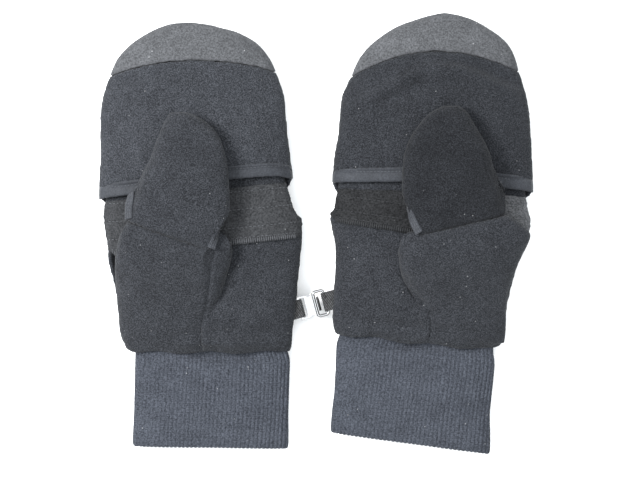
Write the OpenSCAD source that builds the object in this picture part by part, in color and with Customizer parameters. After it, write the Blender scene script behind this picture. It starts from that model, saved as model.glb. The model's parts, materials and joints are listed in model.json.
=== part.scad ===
// A pair of convertible flip-top fleece mittens, laid palm up and clipped together at their side seams.
// Frame: +X from the left hand to the right hand, +Y from the cuffs to the fingertips, +Z up from the table
// that the backs of the mittens rest on. The origin is at the middle of the pair's footprint.

/* [Pair] */
// Distance between the centre lines of the two mittens
pair_pitch = 132; // [131:0.5:136]
// Height of the clip's plate above the table
clip_z = 9; // [8:0.5:10]
// Direction of the clip from +X towards +Y, in degrees
clip_turn = 15; // [10:1:18]

/* [Cloth] */
// Thickness of the fleece
fleece_t = 2; // [1.6:0.1:2.2]
// Thickness of the folded rib-knit cuff wall
knit_t = 2.8; // [2.4:0.1:3]
// Thickness of the suede-like patches
patch_t = 1; // [0.8:0.1:1.2]
// Thickness of the binding tape
tape_t = 1; // [0.8:0.1:1.1]
// Width of the tape on the cap's palm-side edge
tape_w = 7.5; // [6:0.5:9]

/* [Openings] */
// Where the cap is sewn to the back of the hand, measured along Y
cap_seam_y = 14; // [14:0.5:14.5]
// Depth of the thumb cap's slit on its pad side
slit_depth = 15; // [12:1:16]
// Length of the longest half-finger stall
stall_l = 27; // [22:1:28]

/* [Clip] */
// Width of the hook plate
plate_w = 14; // [13:0.5:14.5]
// Length of the hook plate up to its lip
plate_l = 12.2; // [12:0.1:13]
// Thickness of the hook plate
plate_t = 1.2; // [1:0.1:1.4]
// Diameter of the ring's wire
wire_d = 1.7; // [1.5:0.1:1.8]
// Width of the ring over its wires
ring_w = 16.4; // [16:0.2:17]
// Length of the ring between its two bars' centres
ring_l = 6.4; // [6:0.2:7]
// Thickness of the webbing
web_t = 0.7; // [0.5:0.1:0.8]

/* [Hidden] */
$fn = 32;
HANDS = ["left", "right"];
HAND_PARTS = ["cuff", "back_panel", "palm_panel", "palm_patch", "thumb_gusset", "index_stall",
    "middle_stall", "ring_stall", "little_stall", "stall_hems", "thumb_stall", "thumb_stall_hem",
    "cap_back", "cap_palm", "cap_tip_patch", "cap_binding", "thumb_cap_back", "thumb_cap_pad",
    "thumb_cap_binding", "clip_tab"];

// Colours
fleece_c = [0.13, 0.13, 0.15];
knit_c = [0.16, 0.16, 0.19];
suede_c = [0.27, 0.26, 0.27];
tape_c = [0.22, 0.21, 0.25];
webbing_c = [0.08, 0.08, 0.09];
steel_c = [0.85, 0.86, 0.88];

// Each outline is a short list of cross-sections, measured from its mitten's centre line. A row is
// [y, lowest x, highest x, lowest z, highest z, skew, arch, first angle, last angle]. Skew slants the section
// along Y per millimetre of x, and arch bows its middle along Y. Angles go round from +X over the palm side.
// The table flattens whatever lies below z = 0.
sag = -2; // how far a section would reach below the table if the table didn't flatten it

left_cuff = [
    [-127.2, -42.5, 49.0, 0, 14.2, -0.02, 0],
    [-124, -43.0, 49.6, -1, 14.5, -0.02, 0],
    [-105, -42.0, 49.9, -1, 15, -0.01, 0],
    [-85, -41.4, 50.4, -1, 15, 0, 0],
    [-76, -41.2, 50.7, 0, 15, 0, 0],
    [-70, -41.0, 49.4, 2.3, 14.6, 0, 0],
    [-63, -40.6, 48.8, 2.5, 14.4, 0, 0]];
right_cuff = [
    [-125.1, -56.5, 36.5, 0, 14.2, -0.133, 0],
    [-122.5, -57.0, 37.3, -1, 14.5, -0.133, 0],
    [-105, -55.4, 38.0, -1, 15, -0.133, 0],
    [-88, -53.9, 39.2, -1, 15, -0.133, 0],
    [-72, -53.3, 40.3, 0, 15, -0.133, 0],
    [-66, -51.6, 39.6, 2.3, 14.6, -0.133, 0],
    [-59, -51.2, 39.4, 2.5, 14.4, -0.133, 0]];

// The hand's tube, from the cuff to where the fingers start inside the cap. Its palm side leaves room
// for the thumb.
left_hand = [
    [-71, -47.0, 51.4, 0, 17.0, 0, 0, 0, 92],
    [-66, -49.0, 51.9, sag, 20.0, 0, 0, 0, 92],
    [-56, -50.6, 52.6, sag, 22.0, 0, 0, 0, 92],
    [-43, -51.5, 54.0, sag, 23.0, 0, 0, 0, 94],
    [-30, -53.5, 55.0, sag, 23.5, 0, 0, 0, 104],
    [-16, -57.0, 56.6, sag, 23.6, 0, 0, 0, 130],
    [-5, -58.0, 57.6, sag, 23.6, 0, 0, 0, 178],
    [4, -59.2, 57.6, sag, 23.6, 0, 0, 0, 178],
    [9, -60.0, 56.4, -0.8, 23.4, 0, 0, 0, 178],
    [13.6, -59.8, 53.0, 2.8, 22.4, 0, 0, 0, 178],
    [26, -59.2, 48.2, 3.0, 20.4, 0.118, 0, 0, 178],
    [33, -58.6, 47.4, 3.0, 20.2, 0.118, 0, 0, 178]];
right_hand = [
    [-66.5, -54.2, 43.5, 0, 17.0, -0.13, 0, 85, 180],
    [-61, -55.8, 45.4, sag, 20.0, -0.11, 0, 85, 180],
    [-52, -56.2, 46.6, sag, 22.0, -0.09, 0, 85, 180],
    [-40, -55.6, 47.6, sag, 23.0, -0.06, 0, 86, 180],
    [-28, -55.0, 50.4, sag, 23.5, -0.03, 0, 76, 180],
    [-16, -54.8, 54.0, sag, 23.6, 0, 0, 50, 180],
    [-5, -55.6, 57.4, sag, 23.6, 0, 0, 2, 180],
    [4, -57.6, 60.0, sag, 23.6, 0, 0, 2, 180],
    [9, -58.4, 61.4, -0.8, 23.4, 0, 0, 2, 180],
    [13.6, -55.8, 59.8, 2.8, 22.4, 0, 0, 2, 180],
    [26, -53.2, 58.8, 3.0, 20.4, -0.05, 0, 2, 180],
    [33, -52.4, 58.2, 3.0, 20.2, -0.05, 0, 2, 180]];

// The flip-top cap, from its open palm-side edge to the seam of its tip patch, and from that seam to its tip
left_cap = [
    [25.8, -63.6, 52.8, sag, 24, 0.1, 1.5],
    [42, -63.2, 51.0, sag, 24, 0.1, 1.5],
    [56, -62.2, 49.6, sag, 24, 0.08, 2],
    [70, -62.0, 48.6, sag, 23.6, 0.05, 3],
    [82, -60.6, 47.0, sag, 22.6, 0.03, 6],
    [94, -56.6, 42.2, -1.5, 20.6, 0.03, 8]];
left_tip = [
    [94, -56.6, 42.2, -1.5, 20.6, 0.03, 8],
    [103, -52.6, 38.4, -1, 18.4, 0.01, 8],
    [111, -45.2, 32.4, -0.4, 15.6, 0, 6],
    [117, -37.4, 24.6, 0.6, 13, 0, 4],
    [121.5, -28.8, 14.0, 1.8, 10.8, 0, 2],
    [124, -22.0, 3.0, 3, 9.4, 0, 1]];
right_cap = [
    [27, -57.0, 63.6, sag, 24, -0.047, 3],
    [42, -55.5, 63.2, sag, 24, -0.04, 3],
    [56, -52.8, 62.2, sag, 24, -0.03, 3],
    [70, -51.6, 61.2, sag, 23.6, -0.01, 5],
    [82, -50.4, 58.8, sag, 22.6, 0, 9],
    [94, -45.4, 54.4, -1.5, 20.6, 0.025, 13.4]];
right_tip = [
    [94, -45.4, 54.4, -1.5, 20.6, 0.025, 13.4],
    [104, -40.4, 52.0, -1, 18.4, 0, 12],
    [113, -31.8, 47.6, -0.4, 15.6, 0, 9],
    [120, -22.6, 39.4, 0.6, 13, 0, 6],
    [125.5, -12.0, 30.6, 1.8, 10.8, 0, 3],
    [129, -1.0, 21.4, 3, 9.4, 0, 1.5]];

// The thumb's base, a hood that rises out of the thumb side of the hand and closes into a tube
left_gusset = [
    [-71, -47.0, 51.4, 0, 17, 0, 0, 89, 180],
    [-58, -50.4, 51.4, sag, 22.4, 0, 0, 89, 180],
    [-45, -51.2, 20.0, 3, 26, -0.05, 0, 58, 186],
    [-32, -52.4, 12.0, 8, 31.5, -0.1, 0, 18, 192],
    [-20, -51.8, 15.0, 15, 36.8, -0.18, 0, -20, 206],
    [-10, -48.6, 14.4, 21, 40.2, -0.28, 0, -60, 238],
    [-2.9, -43.6, 8.0, 26, 42, -0.355, 0, -86, 266]];
right_gusset = [
    [-66.5, -54.2, 43.5, 0, 17, -0.13, 0, 0, 88],
    [-57, -56.0, 46.4, sag, 22.4, -0.1, 0, 0, 88],
    [-45, -21.5, 46.5, 3, 26, -0.05, 0, -6, 116],
    [-33, -13.2, 48.0, 8, 31.5, 0, 0, -12, 160],
    [-20, -16.6, 53.0, 15, 36.8, 0.1, 0, -26, 200],
    [-7, -17.0, 56.0, 21, 40.2, 0.18, 0, -58, 240],
    [3.5, -10.5, 45.5, 26, 42, 0.24, 0, -86, 266]];

// The thumb's flip-back cap, from the seam across its nail side to its tip
left_thumb = [
    [-2.4, -43.6, 8.0, 26, 42, -0.355, 0],
    [8, -40.8, 15.5, 26, 42.4, -0.25, 0],
    [20, -38.2, 16.0, 26, 42.4, -0.15, 0],
    [32, -35.0, 15.7, 26, 42, -0.08, 0],
    [43, -30.8, 14.2, 26, 41, -0.02, 0],
    [53, -27.6, 11.0, 26.2, 39.6, 0, 0],
    [61, -24.5, 6.5, 26.6, 38, 0, 0],
    [67, -22.0, -1.0, 27.4, 36, 0, 0],
    [70.5, -19.5, -9.0, 28.6, 33.6, 0, 0]];
right_thumb = [
    [4, -10.5, 45.5, 26, 42, 0.24, 0],
    [14, -15.5, 43.0, 26, 42.4, 0.17, 0],
    [25, -16.2, 40.7, 26, 42.4, 0.1, 0],
    [36, -15.9, 37.8, 26, 42, 0.05, 0],
    [46, -14.7, 36.2, 26, 41, 0, 0],
    [56, -11.0, 31.0, 26.2, 39.6, 0, 0],
    [64, -5.7, 26.0, 26.6, 38, 0, 0],
    [70.4, 0.5, 22.3, 27.4, 36, 0, 0],
    [74, 8.0, 18.0, 28.6, 33.6, 0, 0]];

Y = 0;
LOW_X = 1;
HIGH_X = 2;
LOW_Z = 3;
HIGH_Z = 4;
SKEW = 5;
ARCH = 6;
FROM = 7;
TO = 8;

round_power = 2.4; // a section's superellipse power: 2 is an ellipse and more is squarer
arc_steps = 12; // facets across half a section
gusset_steps = 16; // facets across the thumb's base
row_steps = 2; // sections drawn for each row of an outline
stall_steps = 20; // facets round a stall
clear = 0.3; // between two pieces that are sewn or lie face to face
seam_gap = 0.1; // between a stall and its hem
hem_w = 4; // width of a stall's hem
finger_tips = [0.85, 1, 0.9, 0.66]; // each stall's length from the index finger, as a share of stall_l
finger_widths = [0.26, 0.265, 0.25, 0.225]; // each stall's share of the fingers' width
finger_tops = [17.5, 19, 19, 16.5]; // height of each stall's top
finger_lows = [4, 3.4, 3.4, 5.5]; // height of each stall's underside
side_gap = 2; // between the outer stalls and the ends of the hand's opening
stall_t = 1.6;
stall_hem_t = 0.8;
thumb_stall_l = 5;
thumb_stall_t = 1;
thumb_stall_inset = 4; // inside the outline of the thumb cap
thumb_stall_narrow = 5; // how much further in its two sides lie
thumb_hem_t = 0.7;
patch_from = -2; // of the right hand
left_patch_drop = 7; // how much lower the left one starts
patch_to = 24;
patch_steps = 8;
slant_steps = 5; // how many of them the patch's slant takes to fade
patch_edge = 10; // angle of the patch's sides on the hand's sections
patch_corner = 9; // how much further in its lower corners are rounded
corner_steps = 3;
tongue_w = 8.6;
lip_h = 4.2;
lip_lean = 20;
slot_l = 2.6;
bar_l = 1.6;
bar_slack = 0.05; // between the ring's bar and the plate
bend_r = 1.5; // radius of the ring's bends, at the middle of its wire
tab_slack = 0.35; // between the webbing's loop and the bar that it goes round
tab_tail = 7; // how far a tab reaches back into the side seam

function is_left(hand) = hand == "left";
function side(hand) = is_left(hand) ? -1 : 1;
function centre_x(hand) = side(hand) * pair_pitch / 2;

// A row between two rows of an outline, on a smooth curve through them all
function between(rows, i, t) =
    let (a = rows[max(i - 1, 0)], b = rows[i], c = rows[i + 1], d = rows[min(i + 2, len(rows) - 1)])
    0.5 * (2 * b + (c - a) * t + (2 * a - 5 * b + 4 * c - d) * t * t + (3 * b - a - 3 * c + d) * t * t * t);
function smooth_rows(rows, steps) =
    [for (i = [0:len(rows) - 2]) for (k = [0:steps - 1]) between(rows, i, k / steps), rows[len(rows) - 1]];
// The row of an outline at one Y
function row_at(rows, y, i = 0) =
    i > len(rows) - 3 || rows[i + 1][Y] >= y
        ? between(rows, i, (y - rows[i][Y]) / (rows[i + 1][Y] - rows[i][Y]))
        : row_at(rows, y, i + 1);
// The part of an outline from one Y to another, in the number of steps given
function stretch(rows, from, to, steps) =
    [for (k = [0:steps]) row_at(rows, from + (to - from) * k / steps)];
// Rows with the section's angles set, and rows grown outwards by a distance
function with_arc(rows, from, to) = [for (r = rows) [for (i = [0:ARCH]) r[i], from, to]];
function grown(rows, by) =
    [for (r = rows) [for (i = [0:len(r) - 1])
        i == LOW_X || i == LOW_Z ? r[i] - by : i == HIGH_X || i == HIGH_Z ? r[i] + by : r[i]]];
function with_arch(rows, first, fade) =
    [for (r = rows) [for (i = [0:len(r) - 1])
        i == ARCH ? max(0, first * (1 - (r[Y] - rows[0][Y]) / fade)) : r[i]]];

function curve(v) = sign(v) * pow(abs(v), 2 / round_power);
function half(r, low, high, inset) = max(0.06, (r[high] - r[low]) / 2 - inset);
// The point of a row's section at an angle, set in from its outline, with the table under it
function section_point(r, angle, inset) =
    let (
        u = curve(cos(angle)),
        x = half(r, LOW_X, HIGH_X, inset) * u,
        z = (r[LOW_Z] + r[HIGH_Z]) / 2 + half(r, LOW_Z, HIGH_Z, inset) * curve(sin(angle)))
    [(r[LOW_X] + r[HIGH_X]) / 2 + x, r[Y] + r[SKEW] * x + r[ARCH] * (1 - u * u), max(inset, z)];

function mix(a, b, t) = a + (b - a) * t;
function quad(a, b, c, d) = [[a, b, c], [a, c, d]];
function joined(lists) = [for (l = lists) for (f = l) f];

// A panel of cloth that covers part of each section, thick towards the inside
module panel(rows, thick, steps = arc_steps) {
    last = len(rows) - 1;
    per = 2 * (steps + 1);
    function at(k, j, inner) = k * per + inner * (steps + 1) + j;
    points = [for (r = rows) for (inset = [0, thick]) for (j = [0:steps])
        section_point(r, r[FROM] + (r[TO] - r[FROM]) * j / steps, inset)];
    walls = joined([for (k = [0:last - 1]) for (j = [0:steps - 1]) concat(
        quad(at(k, j, 0), at(k, j + 1, 0), at(k + 1, j + 1, 0), at(k + 1, j, 0)),
        quad(at(k, j, 1), at(k + 1, j, 1), at(k + 1, j + 1, 1), at(k, j + 1, 1)))]);
    edges = joined([for (k = [0:last - 1]) concat(
        quad(at(k, 0, 0), at(k + 1, 0, 0), at(k + 1, 0, 1), at(k, 0, 1)),
        quad(at(k + 1, steps, 0), at(k, steps, 0), at(k, steps, 1), at(k + 1, steps, 1)))]);
    ends = joined([for (j = [0:steps - 1]) concat(
        quad(at(0, j + 1, 0), at(0, j, 0), at(0, j, 1), at(0, j + 1, 1)),
        quad(at(last, j, 0), at(last, j + 1, 0), at(last, j + 1, 1), at(last, j, 1)))]);
    polyhedron(points, concat(walls, edges, ends));
}

// A tube of cloth right round each section, open at both ends
module tube(rows, thick, steps = 2 * arc_steps) {
    last = len(rows) - 1;
    function at(k, j, inner) = (k * 2 + inner) * steps + j % steps;
    points = [for (r = rows) for (inset = [0, thick]) for (j = [0:steps - 1])
        section_point(r, 360 * j / steps, inset)];
    walls = joined([for (k = [0:last - 1]) for (j = [0:steps - 1]) concat(
        quad(at(k, j, 0), at(k, j + 1, 0), at(k + 1, j + 1, 0), at(k + 1, j, 0)),
        quad(at(k, j, 1), at(k + 1, j, 1), at(k + 1, j + 1, 1), at(k, j + 1, 1)))]);
    ends = joined([for (j = [0:steps - 1]) concat(
        quad(at(0, j + 1, 0), at(0, j, 0), at(0, j, 1), at(0, j + 1, 1)),
        quad(at(last, j, 0), at(last, j + 1, 0), at(last, j + 1, 1), at(last, j, 1)))]);
    polyhedron(points, concat(walls, ends));
}

// A tube that is closed at its far end, where the outline comes to its tip
module pouch(rows, thick, steps = 2 * arc_steps) {
    inner = [for (r = rows) if (r[Y] < rows[len(rows) - 1][Y] - thick) r];
    outer_n = len(rows);
    inner_n = len(inner);
    function middle(r, inset) =
        [(r[LOW_X] + r[HIGH_X]) / 2, r[Y] + r[ARCH] + inset, (r[LOW_Z] + r[HIGH_Z]) / 2];
    function out(k, j) = k * steps + j % steps;
    function in(k, j) = (outer_n + k) * steps + j % steps;
    tips = (outer_n + inner_n) * steps;
    points = concat(
        [for (r = rows) for (j = [0:steps - 1]) section_point(r, 360 * j / steps, 0)],
        [for (r = inner) for (j = [0:steps - 1]) section_point(r, 360 * j / steps, thick)],
        [middle(rows[outer_n - 1], thick / 3), middle(inner[inner_n - 1], 0)]);
    walls = concat(
        joined([for (k = [0:outer_n - 2]) for (j = [0:steps - 1])
            quad(out(k, j), out(k, j + 1), out(k + 1, j + 1), out(k + 1, j))]),
        joined([for (k = [0:inner_n - 2]) for (j = [0:steps - 1])
            quad(in(k, j), in(k + 1, j), in(k + 1, j + 1), in(k, j + 1))]));
    rim = joined([for (j = [0:steps - 1]) quad(out(0, j + 1), out(0, j), in(0, j), in(0, j + 1))]);
    caps = concat(
        [for (j = [0:steps - 1]) [out(outer_n - 1, j), out(outer_n - 1, j + 1), tips]],
        [for (j = [0:steps - 1]) [in(inner_n - 1, j + 1), in(inner_n - 1, j), tips + 1]]);
    polyhedron(points, concat(walls, rim, caps));
}

function hand_rows(hand) = is_left(hand) ? left_hand : right_hand;
function cap_rows(hand) = is_left(hand) ? left_cap : right_cap;
function thumb_rows(hand) = is_left(hand) ? left_thumb : right_thumb;

module cuff(hand) {
    color(knit_c) tube(smooth_rows(is_left(hand) ? left_cuff : right_cuff, row_steps), knit_t);
}
module back_panel(hand) {
    color(fleece_c) panel(with_arc(smooth_rows(hand_rows(hand), row_steps), 180, 360), fleece_t);
}
module palm_panel(hand) {
    color(fleece_c) panel(smooth_rows(hand_rows(hand), row_steps), fleece_t);
}
// The patch lies on the palm panel at the roots of the fingers and runs up under the cap's edge.
module palm_patch(hand) {
    first = is_left(hand) ? patch_from - left_patch_drop : patch_from;
    rows = stretch(hand_rows(hand), first, patch_to, patch_steps);
    slant = is_left(hand) ? 0.1 : -0.14; // of the patch's lower edge
    function edge(k) = patch_edge + patch_corner * pow(max(0, 1 - k / corner_steps), 2);
    slanted = [for (k = [0:patch_steps]) [for (i = [0:TO])
        i == FROM ? edge(k)
        : i == TO ? 180 - edge(k)
        : i == SKEW && k < slant_steps ? mix(slant, 0, k / slant_steps)
        : rows[k][i]]];
    color(suede_c) panel(grown(slanted, patch_t + 2 * clear), patch_t);
}
module thumb_gusset(hand) {
    rows = is_left(hand) ? left_gusset : right_gusset;
    color(fleece_c) panel(smooth_rows(rows, row_steps), fleece_t, gusset_steps);
}

// The four half-finger stalls share the width of the hand's open end. The index finger's is at the thumb's side.
function stall_from(i) = i == 0 ? 0 : stall_from(i - 1) + finger_widths[i - 1];
function stall_rows(hand, i) =
    let (
        root = hand_rows(hand)[len(left_hand) - 1],
        wide = root[HIGH_X] - root[LOW_X] - 2 * side_gap,
        a = stall_from(i),
        b = a + finger_widths[i],
        low = is_left(hand) ? root[LOW_X] + side_gap + wide * a : root[HIGH_X] - side_gap - wide * b,
        high = low + wide * finger_widths[i],
        middle = (low + high - root[LOW_X] - root[HIGH_X]) / 2,
        y = root[Y] + clear + root[SKEW] * middle)
    [for (t = [0, 0.5, 1])
        [y + t * stall_l * finger_tips[i], low + clear + t, high - clear - t,
            finger_lows[i] + t / 2, finger_tops[i] - t, root[SKEW], 0]];
module stall(hand, i) {
    color(fleece_c) tube(stall_rows(hand, i), stall_t, stall_steps);
}
module stall_hems(hand) {
    color(tape_c) for (i = [0:3]) {
        rows = stall_rows(hand, i);
        end = rows[len(rows) - 1][Y];
        tube(grown(stretch(rows, end - hem_w, end, 1), stall_hem_t + seam_gap), stall_hem_t, stall_steps);
    }
}

// The thumb has a short inner stall, which the flip-back cap covers.
function thumb_stall_rows(hand, from, to) =
    let (root = thumb_rows(hand)[0])
    [for (t = [from, to]) [for (i = [0:ARCH])
        i == Y ? root[Y] + t
        : i == LOW_X ? root[LOW_X] + thumb_stall_narrow
        : i == HIGH_X ? root[HIGH_X] - thumb_stall_narrow
        : root[i]]];
module thumb_stall(hand) {
    rows = thumb_stall_rows(hand, 0, thumb_stall_l);
    color(fleece_c) tube(grown(rows, -thumb_stall_inset), thumb_stall_t, stall_steps);
}
module thumb_stall_hem(hand) {
    rows = thumb_stall_rows(hand, thumb_stall_l + 1 - hem_w, thumb_stall_l + 1);
    color(tape_c) tube(grown(rows, thumb_hem_t + seam_gap - thumb_stall_inset), thumb_hem_t, stall_steps);
}

// The cap's back panel starts at the seam on the back of the hand and wraps up to the sides.
module cap_back(hand) {
    rows = cap_rows(hand);
    first = [for (i = [0:ARCH]) i == Y ? cap_seam_y + clear : i >= SKEW ? 0 : rows[0][i]];
    root = [each first, 212, 328];
    color(fleece_c) panel(concat([root], with_arc(smooth_rows(rows, row_steps), 180, 360)), fleece_t);
}
module cap_palm(hand) {
    color(fleece_c) panel(with_arc(smooth_rows(cap_rows(hand), row_steps), 0, 180), fleece_t);
}
module cap_tip_patch(hand) {
    rows = is_left(hand) ? left_tip : right_tip;
    lifted = [for (r = smooth_rows(rows, row_steps)) [for (i = [0:ARCH]) i == Y ? r[i] + 0.1 : r[i]]];
    color(suede_c) pouch(lifted, fleece_t);
}
module cap_binding(hand) {
    rows = stretch(cap_rows(hand), cap_rows(hand)[0][Y], cap_rows(hand)[0][Y] + tape_w, 2);
    color(tape_c) panel(with_arc(grown(rows, tape_t + 0.3), 3, 177), tape_t);
}

module thumb_cap_back(hand) {
    color(fleece_c) panel(with_arc(smooth_rows(thumb_rows(hand), row_steps), 0, 180), fleece_t);
}
// The pad side starts at the slit, which runs deepest in its middle.
function pad_rows(hand) = with_arch(smooth_rows(thumb_rows(hand), row_steps), slit_depth, 40);
module thumb_cap_pad(hand) {
    color(fleece_c) panel(with_arc(pad_rows(hand), 180.5, 359.5), fleece_t);
}
module thumb_cap_binding(hand) {
    rows = [for (k = [0:1]) pad_rows(hand)[k]];
    color(tape_c) panel(with_arc(grown(rows, 0.8), 184, 356), 0.7);
}

// The clip lies along its own axis u from the left side seam to the right one, with v across it and w up.
// Its plate turns in the left tab about v at u = 0, and its ring turns in the right tab at u = ring_far.
lip_t = 1;
slot_w = plate_w - 2.6; // leaves a strap of the plate on each side of the slot
shoulder_u = 10.4; // where the plate narrows to its tongue
join = 0.1; // overlap between two boxes of one plate
waist_u = 6.6; // where the plate's sides are notched
waist_r = 1.8;
waist_cut = 1;
bar_w = plate_t / 2 + wire_d / 2 + bar_slack;
lip_reach = (lip_t + wire_d / 2 + bar_slack + 0.03) / cos(lip_lean) + (bar_w + plate_t / 2) * tan(lip_lean);
bar_u = plate_l - lip_reach;
ring_far = bar_u + ring_l;
bar_half = (ring_w - wire_d) / 2 - bend_r; // half of a ring bar's straight length
clip_x = -pair_pitch / 2 + 56.6;
clip_y = -45;
module at_clip() {
    translate([clip_x, clip_y, clip_z]) rotate([0, 0, clip_turn]) children();
}
module across(width) {
    rotate([90, 0, 0]) translate([0, 0, -width / 2]) linear_extrude(width) children();
}

// The hook: a flat plate with a slot for the left tab, and a narrower tongue that turns up into a leaning lip
module clip_hook() {
    color(steel_c) at_clip() {
        difference() {
            translate([-bar_l / 2, -plate_w / 2, -plate_t / 2])
                cube([shoulder_u + bar_l / 2, plate_w, plate_t]);
            translate([bar_l / 2, slot_w / -2, -plate_t]) cube([slot_l, slot_w, 2 * plate_t]);
            for (v = [-1, 1]) translate([waist_u, v * (plate_w / 2 + waist_r - waist_cut), -plate_t])
                cylinder(r = waist_r, h = 2 * plate_t);
        }
        translate([shoulder_u - join, -tongue_w / 2, -plate_t / 2])
            cube([plate_l - shoulder_u + join, tongue_w, plate_t]);
        translate([plate_l, -tongue_w / 2, -plate_t / 2]) rotate([0, -lip_lean, 0])
            translate([-lip_t, 0, 0]) cube([lip_t, tongue_w, lip_h]);
    }
}

// The ring: round wire bent to a rectangle, with one bar in the hook and the other in the right tab
module clip_ring() {
    half_w = (ring_w - wire_d) / 2;
    color(steel_c) at_clip() translate([bar_u, 0, bar_w]) {
        for (u = [0, ring_l])
            translate([u, bar_half, 0]) rotate([90, 0, 0]) cylinder(d = wire_d, h = 2 * bar_half);
        for (v = [-half_w, half_w])
            translate([bend_r, v, 0]) rotate([0, 90, 0]) cylinder(d = wire_d, h = ring_l - 2 * bend_r);
        for (i = [0:3]) {
            u = i == 0 || i == 3 ? ring_l - bend_r : bend_r;
            v = i < 2 ? bar_half : -bar_half;
            translate([u, v, 0]) rotate([0, 0, 90 * i])
                rotate_extrude(angle = 90) translate([bend_r, 0]) circle(d = wire_d);
        }
    }
}

// A webbing tab folded round a bar at u = 0, with both ends reaching back along -u
module folded_tab(width, bar_r) {
    inner = bar_r + tab_slack;
    outer = inner + web_t;
    across(width) difference() {
        union() {
            circle(outer);
            translate([-tab_tail, -outer]) square([tab_tail, 2 * outer]);
        }
        circle(inner);
        translate([-tab_tail + 1.2, -inner]) square([tab_tail - 1.2, 2 * inner]);
    }
}
module clip_tab(hand) {
    color(webbing_c) at_clip()
        if (is_left(hand)) folded_tab(plate_w - 3.2, norm([bar_l, plate_t]) / 2);
        else translate([ring_far, 0, bar_w]) rotate([0, 0, 180]) folded_tab(2 * bar_half - 0.4, wire_d / 2);
}

module hand_part(hand, name) {
    if (name == "clip_tab") clip_tab(hand);
    else translate([centre_x(hand), 0, 0]) {
        if (name == "cuff") cuff(hand);
        if (name == "back_panel") back_panel(hand);
        if (name == "palm_panel") palm_panel(hand);
        if (name == "palm_patch") palm_patch(hand);
        if (name == "thumb_gusset") thumb_gusset(hand);
        if (name == "index_stall") stall(hand, 0);
        if (name == "middle_stall") stall(hand, 1);
        if (name == "ring_stall") stall(hand, 2);
        if (name == "little_stall") stall(hand, 3);
        if (name == "stall_hems") stall_hems(hand);
        if (name == "thumb_stall") thumb_stall(hand);
        if (name == "thumb_stall_hem") thumb_stall_hem(hand);
        if (name == "cap_back") cap_back(hand);
        if (name == "cap_palm") cap_palm(hand);
        if (name == "cap_tip_patch") cap_tip_patch(hand);
        if (name == "cap_binding") cap_binding(hand);
        if (name == "thumb_cap_back") thumb_cap_back(hand);
        if (name == "thumb_cap_pad") thumb_cap_pad(hand);
        if (name == "thumb_cap_binding") thumb_cap_binding(hand);
    }
}

for (hand = HANDS) for (name = HAND_PARTS)
    hand_part(hand, name);
clip_hook();
clip_ring();
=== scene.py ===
"""The looks of a pair of convertible flip-top mittens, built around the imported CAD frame, in metres."""
import json
import math

import bpy
import numpy as np
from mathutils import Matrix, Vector
from mathutils.bvhtree import BVHTree

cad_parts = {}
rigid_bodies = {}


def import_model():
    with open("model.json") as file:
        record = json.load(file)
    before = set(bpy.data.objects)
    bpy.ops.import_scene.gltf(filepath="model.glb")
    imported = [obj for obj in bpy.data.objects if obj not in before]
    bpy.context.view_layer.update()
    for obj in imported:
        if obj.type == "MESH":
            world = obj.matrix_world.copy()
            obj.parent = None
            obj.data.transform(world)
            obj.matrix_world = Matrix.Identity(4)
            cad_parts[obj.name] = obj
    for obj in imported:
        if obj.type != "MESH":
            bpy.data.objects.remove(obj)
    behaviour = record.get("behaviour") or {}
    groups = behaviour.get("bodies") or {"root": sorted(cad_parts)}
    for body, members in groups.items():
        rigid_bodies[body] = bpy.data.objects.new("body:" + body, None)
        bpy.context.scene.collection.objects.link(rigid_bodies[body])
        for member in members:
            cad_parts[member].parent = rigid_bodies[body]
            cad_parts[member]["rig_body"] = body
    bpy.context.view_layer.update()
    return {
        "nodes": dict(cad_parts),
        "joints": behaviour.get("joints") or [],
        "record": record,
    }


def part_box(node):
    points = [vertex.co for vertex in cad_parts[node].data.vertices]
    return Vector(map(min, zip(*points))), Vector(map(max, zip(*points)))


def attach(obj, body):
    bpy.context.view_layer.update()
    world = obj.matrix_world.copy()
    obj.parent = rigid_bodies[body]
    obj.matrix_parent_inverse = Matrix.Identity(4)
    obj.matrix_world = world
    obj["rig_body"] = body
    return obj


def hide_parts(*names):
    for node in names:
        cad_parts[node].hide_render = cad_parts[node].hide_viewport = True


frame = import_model()

MM = 0.001
HANDS = ("left", "right")
SIDE = {"left": -1, "right": 1}

# ---------------------------------------------------------------- numbers and fields


def smooth_step(t):
    t = np.clip(t, 0, 1)
    return t * t * (3 - 2 * t)


def bell(t):
    """A smooth bump that is 1 at 0 and fades out on both sides within about 2."""
    return np.exp(-(t**2))


def lattice(ix, iy, iz, seed):
    """A fixed pseudo-random number from 0 to 1 for each lattice point."""
    h = (ix * 73856093) ^ (iy * 19349663) ^ (iz * 83492791) ^ (seed * 2654435761)
    h = (h ^ (h >> 13)) * 1274126177 & 0xFFFFFFFF
    return ((h ^ (h >> 16)) & 0xFFFF) / 65535.0


def noise(co, size, seed):
    """Smooth noise from -1 to 1 whose bumps are about `size` metres apart."""
    p = co / size + 1000
    base = np.floor(p).astype(np.int64)
    f = p - base
    f = f * f * (3 - 2 * f)
    total = np.zeros(len(co))
    for corner in range(8):
        step = np.array([corner & 1, corner >> 1 & 1, corner >> 2 & 1])
        weight = np.prod(np.where(step, f, 1 - f), axis=1)
        total += weight * lattice(*(base + step).T, seed)
    return total * 2 - 1


def along(line, co):
    """For each point, its distance from a polyline in the XY plane, and its share of the way along."""
    best = np.full(len(co), np.inf)
    run = np.zeros(len(co))
    done = 0.0
    for a, b in zip(line[:-1], line[1:]):
        d = b[:2] - a[:2]
        length = max(np.hypot(*d), 1e-9)
        t = np.clip(((co[:, :2] - a[:2]) @ d) / length**2, 0, 1)
        gap = np.hypot(*(co[:, :2] - a[:2] - t[:, None] * d).T)
        run = np.where(gap < best, done + t * length, run)
        best = np.minimum(best, gap)
        done += length
    return best, run / done


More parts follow.
